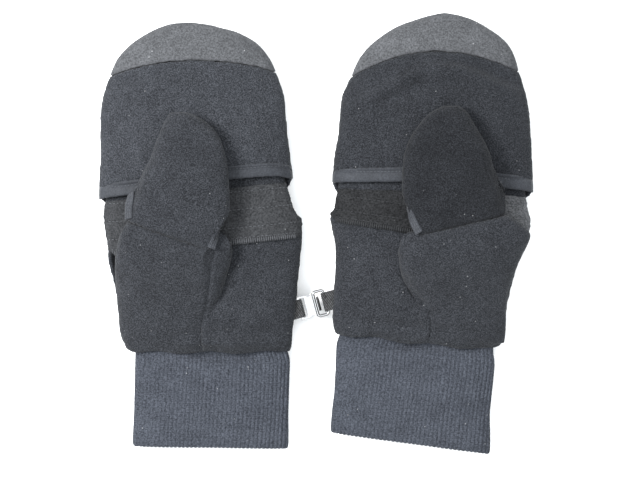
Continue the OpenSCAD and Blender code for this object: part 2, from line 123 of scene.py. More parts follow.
def ridge(line, co, width, height, taper=0.25):
    """A rounded ridge along a polyline, or a groove where height is negative. It fades out at its ends."""
    gap, run = along(line, co)
    fade = smooth_step(np.minimum(run, 1 - run) / taper) if taper else 1.0
    return height * bell(gap / (width / 2)) * fade


def distances(points):
    """How far along a line each of its points is."""
    return np.concatenate([[0], np.cumsum(np.linalg.norm(np.diff(points, axis=0), axis=1))])


def sample(at, run, values):
    """The values at places along a line, from the values given at the distances `run`."""
    return np.column_stack([np.interp(at, run, values[:, i]) for i in range(values.shape[1])])


def curve_through(points, count):
    """A smooth curve through points, resampled to `count` places at equal distances."""
    p = np.array(points, float)
    p = np.vstack([2 * p[0] - p[1], p, 2 * p[-1] - p[-2]])
    fine = []
    for a, b, c, d in zip(p, p[1:], p[2:], p[3:]):
        for t in np.linspace(0, 1, 24, endpoint=False):
            fine.append(0.5 * (2 * b + (c - a) * t + (2 * a - 5 * b + 4 * c - d) * t**2
                               + (3 * b - a - 3 * c + d) * t**3))
    fine = np.array(fine + [p[-2]])
    run = distances(fine)
    return sample(np.linspace(0, run[-1], count), run, fine)


# ---------------------------------------------------------------- meshes


def new_object(name, verts, faces):
    mesh = bpy.data.meshes.new(name)
    mesh.from_pydata([tuple(v) for v in verts], [], [tuple(f) for f in faces])
    mesh.validate()
    obj = bpy.data.objects.new(name, mesh)
    bpy.context.scene.collection.objects.link(obj)
    mesh.shade_smooth()
    return obj


def points_of(obj):
    co = np.empty(len(obj.data.vertices) * 3)
    obj.data.vertices.foreach_get("co", co)
    return co.reshape(-1, 3)


def set_points(obj, co):
    obj.data.vertices.foreach_set("co", co.ravel())
    obj.data.update()


def normals_of(obj):
    n = np.empty(len(obj.data.vertices) * 3)
    obj.data.vertex_normals.foreach_get("vector", n)
    return n.reshape(-1, 3)


def relax(obj, rounds, pull=0.5):
    """Moves each point towards the mean of its neighbours, which rounds off facets and cut edges."""
    co = points_of(obj)
    edges = np.empty(len(obj.data.edges) * 2, np.int64)
    obj.data.edges.foreach_get("vertices", edges)
    a, b = edges.reshape(-1, 2).T
    count = np.bincount(np.concatenate([a, b]), minlength=len(co))[:, None]
    for _ in range(rounds):
        mean = np.empty_like(co)
        for i in range(3):
            mean[:, i] = (np.bincount(a, co[b, i], len(co)) + np.bincount(b, co[a, i], len(co)))
        co += pull * (mean / count - co)
    set_points(obj, co)


def cloth_from(node, voxel, rounds=6, name=None):
    """A soft, fine copy of a CAD node: even quads, with its facets and its cut edges rounded off."""
    source = frame["nodes"][node]
    obj = bpy.data.objects.new(name or node + "_cloth", source.data.copy())
    bpy.context.scene.collection.objects.link(obj)
    obj.data.materials.clear()
    weld = obj.modifiers.new("weld", "WELD")
    weld.merge_threshold = 0.02 * MM
    remesh = obj.modifiers.new("remesh", "REMESH")
    remesh.mode = "VOXEL"
    remesh.voxel_size = voxel
    bpy.context.view_layer.update()
    done = bpy.data.meshes.new_from_object(obj.evaluated_get(bpy.context.evaluated_depsgraph_get()))
    obj.modifiers.clear()
    obj.data = done
    done.shade_smooth()
    relax(obj, rounds)
    return obj


def tree_of(obj):
    obj.data.calc_loop_triangles()
    triangles = [tuple(t.vertices) for t in obj.data.loop_triangles]
    return BVHTree.FromPolygons([tuple(v.co) for v in obj.data.vertices], triangles)


def drop(tree, line, lift=0.0):
    """Drops each point of a line straight down onto a surface. Gives the points and the surface's normals."""
    found = []
    for x, y in line[:, :2]:
        place, normal, _, _ = tree.ray_cast(Vector((x, y, 0.2)), Vector((0, 0, -1)))
        if place is not None:
            found.append((*(place + normal * lift), *normal))
    found = np.array(found)
    return found[:, :3], found[:, 3:]


def grid_faces(rows, columns, wrap_rows=False, wrap_columns=False):
    faces = []
    for i in range(rows if wrap_rows else rows - 1):
        for j in range(columns if wrap_columns else columns - 1):
            i2, j2 = (i + 1) % rows, (j + 1) % columns
            faces.append((i * columns + j, i * columns + j2, i2 * columns + j2, i2 * columns + j))
    return faces


def frames_along(points, ups):
    """The tangent, up and sideways directions at each point of a line."""
    tangent = np.gradient(points, axis=0)
    tangent /= np.linalg.norm(tangent, axis=1)[:, None]
    side = np.cross(tangent, ups)
    side /= np.linalg.norm(side, axis=1)[:, None]
    return tangent, np.cross(side, tangent), side


def tape(name, points, ups, width, thick):
    """A flat tape with rounded edges that follows a line, its flat side towards `ups`."""
    steps = 16
    _, up, side = frames_along(points, ups)
    angle = np.linspace(0, 2 * np.pi, steps, endpoint=False)
    across_power, up_power = 0.35, 0.6
    flat = np.sign(np.cos(angle)) * np.abs(np.cos(angle)) ** across_power * width / 2
    rise = np.sign(np.sin(angle)) * np.abs(np.sin(angle)) ** up_power * thick / 2
    verts = (points[:, None] + flat[None, :, None] * side[:, None] + rise[None, :, None] * up[:, None])
    faces = grid_faces(len(points), steps, wrap_columns=True)
    faces += [tuple(range(steps))[::-1], tuple((len(points) - 1) * steps + j for j in range(steps))]
    return new_object(name, verts.reshape(-1, 3), faces)


def stitches(name, runs, length, pitch, thick, across=False):
    """Rows of sewn stitches, along or across their line. A run is a line's points and its normals."""
    sides, rings = 6, 5
    turn = np.linspace(0, 2 * np.pi, sides, endpoint=False)
    u = np.linspace(-1, 1, rings)
    bulge = np.sqrt(1 - (u * 0.96) ** 2) ** 0.7
    verts, faces = [], []
    for points, ups in runs:
        run = distances(points)
        for at in np.arange(pitch / 2, run[-1], pitch):
            start, end = sample([at - length / 2, at + length / 2], run, points)
            up = sample(at, run, ups)[0]
            up /= np.linalg.norm(up)
            middle, d = (start + end) / 2, end - start
            d /= max(np.linalg.norm(d), 1e-9)
            side = np.cross(d, up)
            if across:
                d, side = side, -d
            base = len(verts)
            for k in range(rings):
                centre = middle + d * u[k] * length / 2 + up * thick * (0.35 - 0.5 * u[k] ** 2)
                for a in turn:
                    verts.append(centre + (side * math.cos(a) + up * math.sin(a)) * thick / 2 * bulge[k])
            faces += [tuple(base + i for i in f) for f in grid_faces(rings, sides, wrap_columns=True)]
            faces.append(tuple(base + j for j in range(sides))[::-1])
            faces.append(tuple(base + (rings - 1) * sides + j for j in range(sides)))
    return new_object(name, verts, faces)


# ---------------------------------------------------------------- materials


class Surface:
    """A material whose texture comes from the place on the object, in the row frame. Sizes are in metres."""

    def __init__(self, name, **sockets):
        self.material = bpy.data.materials.new(name)
        self.material.use_nodes = True
        self.nodes = self.material.node_tree.nodes
        self.links = self.material.node_tree.links
        self.shader = self.nodes["Principled BSDF"]
        for socket, value in sockets.items():
            self.shader.inputs[socket.replace("_", " ")].default_value = value
        self.place = self.nodes.new("ShaderNodeTexCoord").outputs["Object"]

    def put(self, kind, **values):
        """Adds a node and gives its first output. Lower-case names are settings, and the others sockets."""
        node = self.nodes.new("ShaderNode" + kind)
        for name, value in values.items():
            if name.islower():
                setattr(node, name, value)
            elif isinstance(value, bpy.types.NodeSocket):
                self.links.new(value, node.inputs[name.replace("_", " ")])
            else:
                node.inputs[name.replace("_", " ")].default_value = value
        return node.outputs[0]

    def turned(self, angle, stretch=(1, 1, 1)):
        """The place, turned about Z and stretched, so that a texture runs along a direction."""
        return self.put("Mapping", Vector=self.place, Rotation=(0, 0, angle), Scale=stretch)

    def noise(self, size, detail=2.0, place=None):
        return self.put("TexNoise", Vector=place or self.place, Scale=1 / size, Detail=detail, Roughness=0.6)

    def ramp(self, value, *stops):
        """Turns a value into a colour. A stop is a position and the colour there."""
        out = self.put("ValToRGB", Fac=value)
        elements = out.node.color_ramp.elements
        for _ in range(len(stops) - 2):
            elements.new(0.5)
        for element, (position, colour) in zip(elements, stops):
            element.position = position
            element.color = (*colour, 1)
        return out

    def mix(self, kind, share, a, b):
        return self.put("MixRGB", blend_type=kind, Fac=share, Color1=a, Color2=b)

    def lint(self, gap, radius):
        """A mask of small specks, one for each cell of `gap` metres at most."""
        spot = self.put("TexVoronoi", Vector=self.place, Scale=1 / gap)
        near = self.put("MapRange", Value=spot, From_Min=radius / gap, From_Max=0.5 * radius / gap)
        thinned = self.ramp(self.noise(2.3 * gap), (0.5, (0, 0, 0)), (0.56, (1, 1, 1)))
        return self.mix("MULTIPLY", 1.0, near, thinned)

    def relief(self, height, depth, strength=1.0, under=None):
        bump = self.put("Bump", Height=height, Distance=depth, Strength=strength)
        if under:
            self.links.new(under, bump.node.inputs["Normal"])
        return bump

    def finish(self, colour=None, normal=None):
        if colour:
            self.links.new(colour, self.shader.inputs["Base Color"])
        if normal:
            self.links.new(normal, self.shader.inputs["Normal"])
        return self.material


def grey(value, blue=1.0):
    return value, value * (1 + 0.3 * (blue - 1)), value * blue


def cloth_colour(surface, low, high, grain, cloud, lint_tone=None, stops=(0.34, 0.66)):
    """Fine grain between two tones, clouded over a wider distance, with a few pale specks of lint."""
    tone = surface.ramp(surface.noise(grain, 3), (stops[0], low), (stops[1], high))
    shade = surface.ramp(surface.noise(cloud, 2), (0.3, grey(0.78)), (0.7, grey(1.0)))
    colour = surface.mix("MULTIPLY", 1.0, tone, shade)
    if lint_tone:
        colour = surface.mix("MIX", surface.lint(5 * MM, 0.4 * MM), colour, (*grey(lint_tone, 1.04), 1))
    return colour


def fleece(name, tone):
    """Brushed fleece: a short curly pile, matt, with a soft glow at its edges and some lint. A `tone` below 1
    paints shade into it.
    """
    s = Surface(name, Roughness=0.95, Sheen_Weight=0.06, Sheen_Roughness=0.5, Specular_IOR_Level=0.05)
    colour = cloth_colour(s, grey(0.013 * tone, 1.28), grey(0.075 * tone, 1.22), grain=0.65 * MM,
                          cloud=14 * MM, lint_tone=0.16, stops=(0.42, 0.78))
    curls = s.relief(s.noise(1.3 * MM, 3), 0.7 * MM)
    return s.finish(colour, s.relief(s.noise(0.6 * MM, 2), 0.3 * MM, 1.0, curls))


OUTER_END_TONES = (grey(0.035, 1.08), grey(0.12, 1.08))
OUTER_END_FADE = 12 * MM
SUEDE_GRAIN = 1.0 * MM
SUEDE_CLOUD = 9 * MM


def suede(name, low, high, lint_tone, lighter_from=None):
    """Brushed microfibre: a short nap that clouds here and there, and is lighter past X `lighter_from` where
    that is given.
    """
    s = Surface(name, Roughness=0.9, Sheen_Weight=0.06, Sheen_Roughness=0.4, Specular_IOR_Level=0.05)
    colour = cloth_colour(s, low, high, SUEDE_GRAIN, SUEDE_CLOUD, lint_tone)
    if lighter_from is not None:
        along_x = s.put("SeparateXYZ", Vector=s.place)
        share = s.put("MapRange", Value=along_x, From_Min=lighter_from, From_Max=lighter_from + OUTER_END_FADE)
        lighter = cloth_colour(s, *OUTER_END_TONES, SUEDE_GRAIN, SUEDE_CLOUD, lint_tone)
        colour = s.mix("MIX", share, colour, lighter)
    return s.finish(colour, s.relief(s.noise(0.6 * MM, 3), 0.25 * MM, 0.8))


BAND_SCALE = 0.314  # a wave texture's scale times the width of one of its bands


def rib_knit():
    """Fine knit. The ribs themselves are in the mesh, and this adds the rows of loops."""
    s = Surface("rib_knit", Roughness=0.9, Sheen_Weight=0.06, Sheen_Roughness=0.4, Specular_IOR_Level=0.05)
    colour = cloth_colour(s, grey(0.019, 1.4), grey(0.06, 1.34), grain=0.9 * MM, cloud=14 * MM,
                          lint_tone=0.18)
    rows = s.put("TexWave", wave_type="BANDS", bands_direction="Y", Vector=s.place,
                 Scale=BAND_SCALE / (1.3 * MM), Distortion=2.0, Detail=1.0)
    loops = s.relief(rows, 0.25 * MM, 0.7)
    return s.finish(colour, s.relief(s.noise(0.7 * MM, 2), 0.3 * MM, 0.7, loops))


def binding_tape():
    """Smooth folded tape with a faint cross weave."""
    s = Surface("binding_tape", Roughness=0.62, Sheen_Weight=0.05, Specular_IOR_Level=0.12)
    colour = cloth_colour(s, grey(0.0185, 1.3), grey(0.038, 1.26), grain=0.8 * MM, cloud=12 * MM)
    return s.finish(colour, s.relief(s.noise(0.45 * MM, 2), 0.12 * MM, 0.6))


CLIP_TURN = 0.26  # how far the clip is turned about Z, in radians
YARN_SLANT = 0.78  # of the webbing's yarns across its cords


def webbing():
    """Narrow black webbing. Its cords are in the mesh, and this adds the slant of the yarns across them."""
    s = Surface("webbing", Roughness=0.55, Specular_IOR_Level=0.15)
    place = s.turned(YARN_SLANT - CLIP_TURN)
    yarns = s.put("TexWave", wave_type="BANDS", bands_direction="X", Vector=place,
                  Scale=BAND_SCALE / (0.9 * MM))
    fleck = s.mix("MULTIPLY", 1.0, s.ramp(yarns, (0.2, grey(0.1)), (0.8, grey(1.0))), s.noise(1.2 * MM, 1))
    colour = s.ramp(fleck, (0.15, grey(0.002)), (0.75, grey(0.13, 1.05)))
    return s.finish(colour, s.relief(yarns, 0.35 * MM))


def nickel(name, tone):
    """Polished nickel plate with fine rubbing marks. `tone` is 1 for the plate and less for its rim, where it
    paints a dark reflection.
    """
    s = Surface(name, Metallic=1.0, Roughness=0.16)
    rubs = s.noise(1.6 * MM, 3, s.turned(-CLIP_TURN, (0.15, 1, 1)))
    colour = s.ramp(rubs, (0.3, grey(0.42 * tone, 1.02)), (0.7, grey(0.55 * tone, 1.02)))
    return s.finish(colour, s.relief(rubs, 0.02 * MM, 0.5))


def thread(name, low, high):
    """Sewing thread, a little shinier than the cloth, between two tones of grey."""
    s = Surface(name, Roughness=0.55, Specular_IOR_Level=0.2)
    return s.finish(s.ramp(s.noise(0.6 * MM), (0.3, grey(low, 1.15)), (0.7, grey(high, 1.15))))


MATERIALS = {
    "fleece": fleece("fleece", 1.0),
    "rib_knit": rib_knit(),
    "suede_patch": suede("suede_patch", grey(0.014, 1.12), grey(0.045, 1.1), lint_tone=0.15),
    "binding_tape": binding_tape(),
    "webbing": webbing(),
    "nickel": nickel("nickel", 1.0),
}
# The clip's rounded rims get this darker nickel: a painted dark reflection of the surroundings
RIM_PAINTED_REFLECTION = nickel("nickel_rim_painted_reflection", tone=0.08)
TIP_SUEDE = suede("tip_suede", grey(0.037, 1.1), grey(0.088, 1.1), lint_tone=0.25)
# Darker copies of the fleece and of the patch's suede, with painted shade, for panels that lie further from
# the light
FLEECE_PAINTED_SHADE = fleece("fleece_painted_shade", 0.77)
FLEECE_PAINTED_DEEPER_SHADE = fleece("fleece_painted_deeper_shade", 0.7)
FLEECE_PAINTED_DEEPEST_SHADE = fleece("fleece_painted_deepest_shade", 0.44)
OUTER_END_LENGTH = 26 * MM  # how much of the right patch's outer end is lighter
# The right palm patch's suede is darker: painted shade
SUEDE_PAINTED_SHADE = suede("suede_painted_shade", grey(0.0065, 1.1), grey(0.025, 1.08), lint_tone=0.12,
                   lighter_from=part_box("right_palm_patch")[1].x - OUTER_END_LENGTH)
PAINTED_SHADE_BY_PANEL = {
    "left": {"palm_panel": FLEECE_PAINTED_SHADE, "thumb_gusset": FLEECE_PAINTED_SHADE, "thumb_cap_back": FLEECE_PAINTED_SHADE,
             "thumb_cap_pad": FLEECE_PAINTED_SHADE},
    "right": {"palm_panel": FLEECE_PAINTED_SHADE, "thumb_gusset": FLEECE_PAINTED_SHADE, "cap_palm": FLEECE_PAINTED_DEEPER_SHADE,
              "thumb_cap_back": FLEECE_PAINTED_DEEPEST_SHADE, "thumb_cap_pad": FLEECE_PAINTED_DEEPEST_SHADE, "palm_patch": SUEDE_PAINTED_SHADE}}
THREAD = thread("thread", low=0.035, high=0.085)
# A darker copy of the thread for the right patch's stitches, with painted shade like that patch
THREAD_PAINTED_SHADE = thread("thread_painted_shade", low=0.012, high=0.032)

# ---------------------------------------------------------------- cloth pieces

slots = {part["node"]: part["material_slot"] for part in frame["record"]["subparts"]}


def wear(obj, node, material=None, stands_for=True):
    """Gives a piece its material, and has it move with a CAD node, which it may stand for."""
    obj.data.materials.clear()
    hand, _, part = node.partition("_")
    # Panels listed in the table of painted shade get a darker copy of their material
    obj.data.materials.append(material or PAINTED_SHADE_BY_PANEL.get(hand, {}).get(part) or MATERIALS[slots[node]])
    if stands_for:
        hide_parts(node)
    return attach(obj, frame["nodes"][node]["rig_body"])


def spots(node, *shares):
    """Points over a CAD node's box, each given as its shares of the box along X and Y."""
    low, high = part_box(node)
    return np.array([[low[i] + (high[i] - low[i]) * share[i] for i in range(2)] for share in shares])


def upper_side(co, start=7 * MM, depth=5 * MM):
    """1 on the side that faces up and 0 below it, with a soft change between."""
    return smooth_step((co[:, 2] - start) / depth)


def drift(co):
    """The slow sag and swell that neighbouring panels share."""
    moved = co.copy()
    lift = upper_side(co, 0, 8 * MM)
    moved[:, 0] += 0.7 * MM * noise(co, 34 * MM, 1)
    moved[:, 1] += 0.5 * MM * noise(co, 30 * MM, 2)
    moved[:, 2] += lift * (0.8 * MM * noise(co, 30 * MM, 3) + 0.35 * MM * noise(co, 12 * MM, 4))
    return moved


def soften(obj, seed, swell=0.3 * MM, pile=0.12 * MM, dimple=0.2 * MM, bend=None):
    """Gives remeshed cloth its full thickness back, then its waves, its bends and its pile."""
    co = drift(points_of(obj) + normals_of(obj) * swell)
    if bend:
        co = bend(co)
    set_points(obj, co)
    co += normals_of(obj) * (dimple * noise(co, 7 * MM, seed) + pile * noise(co, 1.6 * MM, seed + 1))[:, None]
    co[:, 2] = np.maximum(co[:, 2], 0)
    set_points(obj, co)
    return obj


# How far each lower edge runs up along Y for each metre along X, as its section does in the frame
WRIST_SLOPE = {"left": 0.0, "right": -0.13}
CUFF_SLOPE = {"left": -0.015, "right": -0.133}
CORNER = {"left": (5.0, 1.5), "right": (0.5, 4.5)}  # how many millimetres each lower corner is cut back
CORNER_REACH = 12 * MM
LEVEL = {"left": 0.0, "right": 0.03}  # how much flatter than its frame each lower edge lies
HEM = 9 * MM  # how far up the lower edge's waves reach


def wrist_bend(hand, lines):
    """The fleece's lower edge lies down on the cuff in small waves, and creases run up from it."""
    slope = WRIST_SLOPE[hand]
    back = points_of(frame["nodes"][f"{hand}_back_panel"])
    lowest = (back[:, 1] - slope * back[:, 0]).min()
    sides = back[back[:, 1] < back[:, 1].min() + CORNER_REACH]
    left_x, right_x = sides[:, 0].min(), sides[:, 0].max()

    def bend(co):
        height = co[:, 1] - slope * co[:, 0] - lowest
        edge = 1 - smooth_step(height / HEM)
        upper = upper_side(co)
        moved = co.copy()
        moved[:, 1] += 0.8 * MM * edge * np.sin(co[:, 0] / (5.2 * MM) + 1)
        moved[:, 1] += LEVEL[hand] * (co[:, 0] - left_x) * edge
        for gap, cut in zip((co[:, 0] - left_x, right_x - co[:, 0]), CORNER[hand]):
            moved[:, 1] += edge * cut * MM * np.clip(1 - gap / CORNER_REACH, 0, 1) ** 2
        moved[:, 2] += upper * edge * MM * (0.4 * np.sin(co[:, 0] / (6.1 * MM)) - 0.2)
        for line, width, rise in lines:
            moved[:, 2] += upper * ridge(line, co, width, rise)
        return moved
    return bend


# The creases and rolls of the fleece over each wrist: a line, its width and its rise
CREASES = {
    "left": [
        (spots("left_palm_panel", (0.64, 0.40), (0.61, 0.33), (0.58, 0.26), (0.53, 0.19)), 4 * MM, -1.6 * MM),
        (spots("left_palm_panel", (0.60, 0.24), (0.63, 0.14), (0.60, 0.06)), 9 * MM, 0.9 * MM),
        (spots("left_palm_panel", (0.30, 0.05), (0.58, 0.05), (0.92, 0.05)), 6 * MM, 2.2 * MM),
        (spots("left_palm_panel", (0.36, 0.12), (0.58, 0.11), (0.90, 0.12)), 6 * MM, -1.3 * MM)],
    "right": [
        (spots("right_palm_panel", (0.36, 0.44), (0.39, 0.36), (0.44, 0.27), (0.50, 0.21)),
         4 * MM, -1.6 * MM),
        (spots("right_palm_panel", (0.04, 0.08), (0.12, 0.06), (0.22, 0.04)), 8 * MM, 2.2 * MM),
        (spots("right_palm_panel", (0.30, 0.04), (0.50, 0.03), (0.75, -0.02)), 8 * MM, 0.9 * MM),
        (spots("right_palm_panel", (0.10, 0.17), (0.35, 0.12), (0.70, 0.08)), 6 * MM, -1.2 * MM)]}

# The sewn seam inside the thumb's base, and the stretch of its free edge that lies down on the palm
BASE_SEAM = {
    "left": spots("left_palm_panel", (0.58, 0.53), (0.55, 0.42), (0.53, 0.30), (0.51, 0.17), (0.51, 0.03)),
    "right": spots("right_palm_panel", (0.50, 0.23), (0.495, 0.13), (0.49, 0.04))}
LYING_EDGE = {
    "left": spots("left_palm_panel", (0.60, 0.32), (0.57, 0.26), (0.53, 0.20), (0.50, 0.13), (0.495, -0.02)),
    "right": spots("right_palm_panel", (0.41, 0.33), (0.45, 0.26), (0.49, 0.19), (0.51, 0.12), (0.52, -0.02))}

FAR_BULGE = {"left": 0.0, "right": 3.5 * MM}  # how far the thumb's base bulges on the thumb's outer side
SHOULDER_RISE = {"left": 12 * MM, "right": 3 * MM}  # how far its edge reaches up beside the slit
SHOULDER_BULGE = 3.5 * MM
SHOULDER_DROP = 4 * MM


def shoulder(hand, co):
    """The thumb's base bulges out beside the slit and reaches up towards the slit's edge there."""
    off, height, upper = seam_place(hand, co)
    outward = -SIDE[hand]
    share = outward * off[:, 0] / THUMB_HALF_WIDTH
    side = smooth_step((share - 0.66) / 0.2)
    rise = SHOULDER_RISE[hand] * side * smooth_step(1 + height / (26 * MM))
    co[:, 1] += rise + SEAM_LAP * smooth_step(1 + height / (4 * MM))
    bulge = smooth_step((share - 0.4) / 0.6) * smooth_step(1 + height / (15 * MM))
    co[:, 0] += outward * SHOULDER_BULGE * bulge
    co[:, 2] -= SHOULDER_DROP * side * smooth_step(1 + height / (12 * MM)) * upper
    co[:, 2] -= upper * seam_groove(height)
    far = smooth_step((-share - 0.5) / 0.5) * bell((height + 14 * MM) / (9 * MM))
    co[:, 0] -= outward * FAR_BULGE[hand] * far
    return co


RIM_OVERLAP = 1.5 * MM  # how far the back's raised rim goes past the edge that it meets
RIM_LIMIT = 16 * MM


def outer_heights(hand, co, rows, pick):
    """The highest or the lowest place of a piece at each row along Y, on the thumb's outer side."""
    out = SIDE[hand] * co[:, 0]
    heights = []
    for y in rows:
        near = np.abs(co[:, 1] - y) < 2 * MM
        heights.append(pick(co[near & (out > out[near].max() - 5 * MM), 2]))
    return np.array(heights)


def side_rise(hand, base, back):
    """Rows along Y, and how far the back's rim rises there to meet the thumb's base on its outer side."""
    rows = np.linspace(base[:, 1].min() + 4 * MM, base[:, 1].max() - 4 * MM, 30)
    gap = outer_heights(hand, base, rows, np.min) - outer_heights(hand, back, rows, np.max)
    patch_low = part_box(f"{hand}_palm_patch")[0].y
    below_patch = smooth_step((patch_low + 7 * MM - rows) / (6 * MM))
    return rows, np.clip(gap + RIM_OVERLAP, 0, RIM_LIMIT) * below_patch


def hand_cloth(hand):
    """The fleece palm, the thumb's base and the back of the hand."""
    bend = wrist_bend(hand, CREASES[hand])
    cloths = {part: cloth_from(f"{hand}_{part}", voxel * MM)
              for part, voxel in (("palm_panel", 0.9), ("thumb_gusset", 0.9), ("back_panel", 1.3))}
    rows, rises = side_rise(hand, points_of(cloths["thumb_gusset"]), points_of(cloths["back_panel"]))
    middle = sum(corner.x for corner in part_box(f"{hand}_back_panel")) / 2

    def back_bend(co):
        rim = upper_side(co, 3 * MM, 6 * MM) * (SIDE[hand] * (co[:, 0] - middle) > 0)
        moved = co.copy()
        moved[:, 2] += rim * np.interp(co[:, 1], rows, rises, 0, 0)
        return bend(moved)

    def palm_bend(co):
        moved = bend(co)
        moved[:, 2] += upper_side(co) * ridge(LYING_EDGE[hand], co, width=7 * MM, height=0.5 * MM)
        return moved

    def base_bend(co):
        moved = shoulder(hand, bend(co))
        upper = upper_side(co)
        moved[:, 2] += upper * ridge(BASE_SEAM[hand], co, width=1.8 * MM, height=-1.2 * MM, taper=0.1)
        moved[:, 2] += upper * ridge(LYING_EDGE[hand], co, width=9 * MM, height=-1.6 * MM, taper=0.2)
        return moved

    bends = {"palm_panel": palm_bend, "thumb_gusset": base_bend, "back_panel": back_bend}
    for seed, (part, cloth) in enumerate(cloths.items()):
        wear(soften(cloth, 10 + seed, bend=bends[part]), f"{hand}_{part}")


def hug(co, reach):
    """Draws a cross strip's ends in towards the mitten's sides, and gives how near each point is to them."""
    middle = (co[:, 0].min() + co[:, 0].max()) / 2
    near = 1 - smooth_step((co[:, 2] - co[:, 2].min()) / (9 * MM))
    co[:, 0] -= np.sign(co[:, 0] - middle) * reach * near
    return near


# ---------------------------------------------------------------- the cap

EDGE_RISE = {"left": 3.0 * MM, "right": 0.0}  # of the open edge beside the thumb
# The folds of each cap: a line, its width and its rise
CAP_FOLDS = {
    "left": [
        (spots("left_cap_palm", (0.04, 0.80), (0.20, 0.86), (0.40, 0.93)), 7 * MM, -0.5 * MM)],
    "right": [
        (spots("right_cap_palm", (0.05, 0.56), (0.26, 0.72), (0.46, 0.87), (0.63, 0.86), (0.78, 0.77),
               (0.96, 0.66)), 8 * MM, 2.2 * MM),
        (spots("right_cap_palm", (0.50, 0.97), (0.70, 0.90), (0.87, 0.79), (0.97, 0.72)), 6 * MM, -1.2 * MM),
        (spots("right_cap_palm", (0.20, 0.58), (0.45, 0.76), (0.63, 0.76), (0.78, 0.68), (0.92, 0.57)),
         8 * MM, -1.3 * MM),
        (spots("right_cap_palm", (0.04, 0.44), (0.14, 0.50), (0.22, 0.57)), 8 * MM, 1.0 * MM)]}


def edge_rise(hand, co):
    """The cap's open edge runs a little higher beside the thumb."""
    low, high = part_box(f"{hand}_cap_binding")
    share = (co[:, 0] - low.x) / (high.x - low.x)
    hump = smooth_step((share - 0.35) / 0.3) * smooth_step((1.02 - share) / 0.12)
    moved = co.copy()
    moved[:, 1] += EDGE_RISE[hand] * hump * smooth_step(1 - (co[:, 1] - low.y) / (40 * MM))
    return moved


def cap_bend(hand):
    """The bend that gives a cap its open edge and its folds."""
    def bend(co):
        moved = edge_rise(hand, co)
        upper = upper_side(co, 8 * MM, 6 * MM)
        for line, width, rise in CAP_FOLDS[hand]:
            moved[:, 2] += upper * ridge(line, co, width, rise, taper=0.15)
        return moved
    return bend


def low_edge(obj, count, inset=0.06, level=0.5):
    """A line along the lower edge of a piece's top side, from low X to high X."""
    co = points_of(obj)
    low, high = co.min(0), co.max(0)
    top = co[co[:, 2] > low[2] + level * (high[2] - low[2])]
    width = high[0] - low[0]
    line = []
    for x in np.linspace(low[0] + inset * width, high[0] - inset * width, 11):
        near = top[np.abs(top[:, 0] - x) < width / 40]
        if len(near):
            line.append((x, near[:, 1].min()))
    return curve_through(line, count)


def sew(name, obj, lines, node, length=1.7 * MM, pitch=2.5 * MM, thick=0.36 * MM, across=False, yarn=THREAD):
    """Rows of stitches on a piece's top side, each along a line."""
    tree = tree_of(obj)
    runs = [drop(tree, line) for line in lines]
    return wear(stitches(name, runs, length, pitch, thick, across), node, yarn, stands_for=False)


def shifted(line, by):
    return line + np.array([0, by])


def cap_cloth(hand):
    """The cap's two fleece sides, and the brushed patch round its tip."""
    for seed, (part, voxel) in enumerate((("cap_palm", 0.9), ("cap_back", 1.3))):
        node = f"{hand}_{part}"
        wear(soften(cloth_from(node, voxel * MM), 20 + seed, bend=cap_bend(hand)), node)
    node = f"{hand}_cap_tip_patch"
    tip = soften(cloth_from(node, 0.9 * MM), 24, pile=0.05 * MM, bend=cap_bend(hand))
    wear(tip, node, TIP_SUEDE)
    seam = shifted(low_edge(tip, 160), 1.3 * MM)
    sew(f"{hand}_tip_stitches", tip, [seam], node, length=1.3 * MM, pitch=2.0 * MM, thick=0.3 * MM)


TAPE_WIDTH = 7.5 * MM
TAPE_SPREAD = 0.16  # how much broader the tape lies than its frame
SEAM_SHARE = 0.7  # where the stitched groove runs, as a share of the tape's width


def binding(hand):
    """The folded tape on the cap's palm-side edge: a broad flat, a stitched groove and a narrow upper lip."""
    node = f"{hand}_cap_binding"
    obj = cloth_from(node, 0.42 * MM, rounds=4)
    edge = low_edge(obj, 200, inset=0.02)
    flat = points_of(obj)
    height = flat[:, 1] - np.interp(flat[:, 0], edge[:, 0], edge[:, 1])
    co = edge_rise(hand, drift(flat))
    share = height / TAPE_WIDTH
    co[:, 1] += TAPE_SPREAD * height
    broad = 0.45 * MM * np.sqrt(np.clip(1 - ((share - 0.3) / 0.34) ** 2, 0, 1))
    groove = -0.75 * MM * bell((share - SEAM_SHARE) / 0.06)
    lip = 0.45 * MM * bell((share - 0.86) / 0.07)
    near = hug(co, 1.3 * MM)
    co += normals_of(obj) * ((broad + groove + lip + 0.2 * MM) * (1 - 0.8 * near))[:, None]
    set_points(obj, co)
    wear(obj, node)
    seam = shifted(low_edge(obj, 200, inset=0.02), SEAM_SHARE * TAPE_WIDTH * (1 + TAPE_SPREAD))
    sew(f"{hand}_binding_stitches", obj, [seam], node, length=1.5 * MM, pitch=2.1 * MM, thick=0.3 * MM)


# ---------------------------------------------------------------- the palm patch

PATCH_ROWS = (0.22, 0.46, 0.7)  # heights of the stitch rows, as shares of the patch's height in the middle


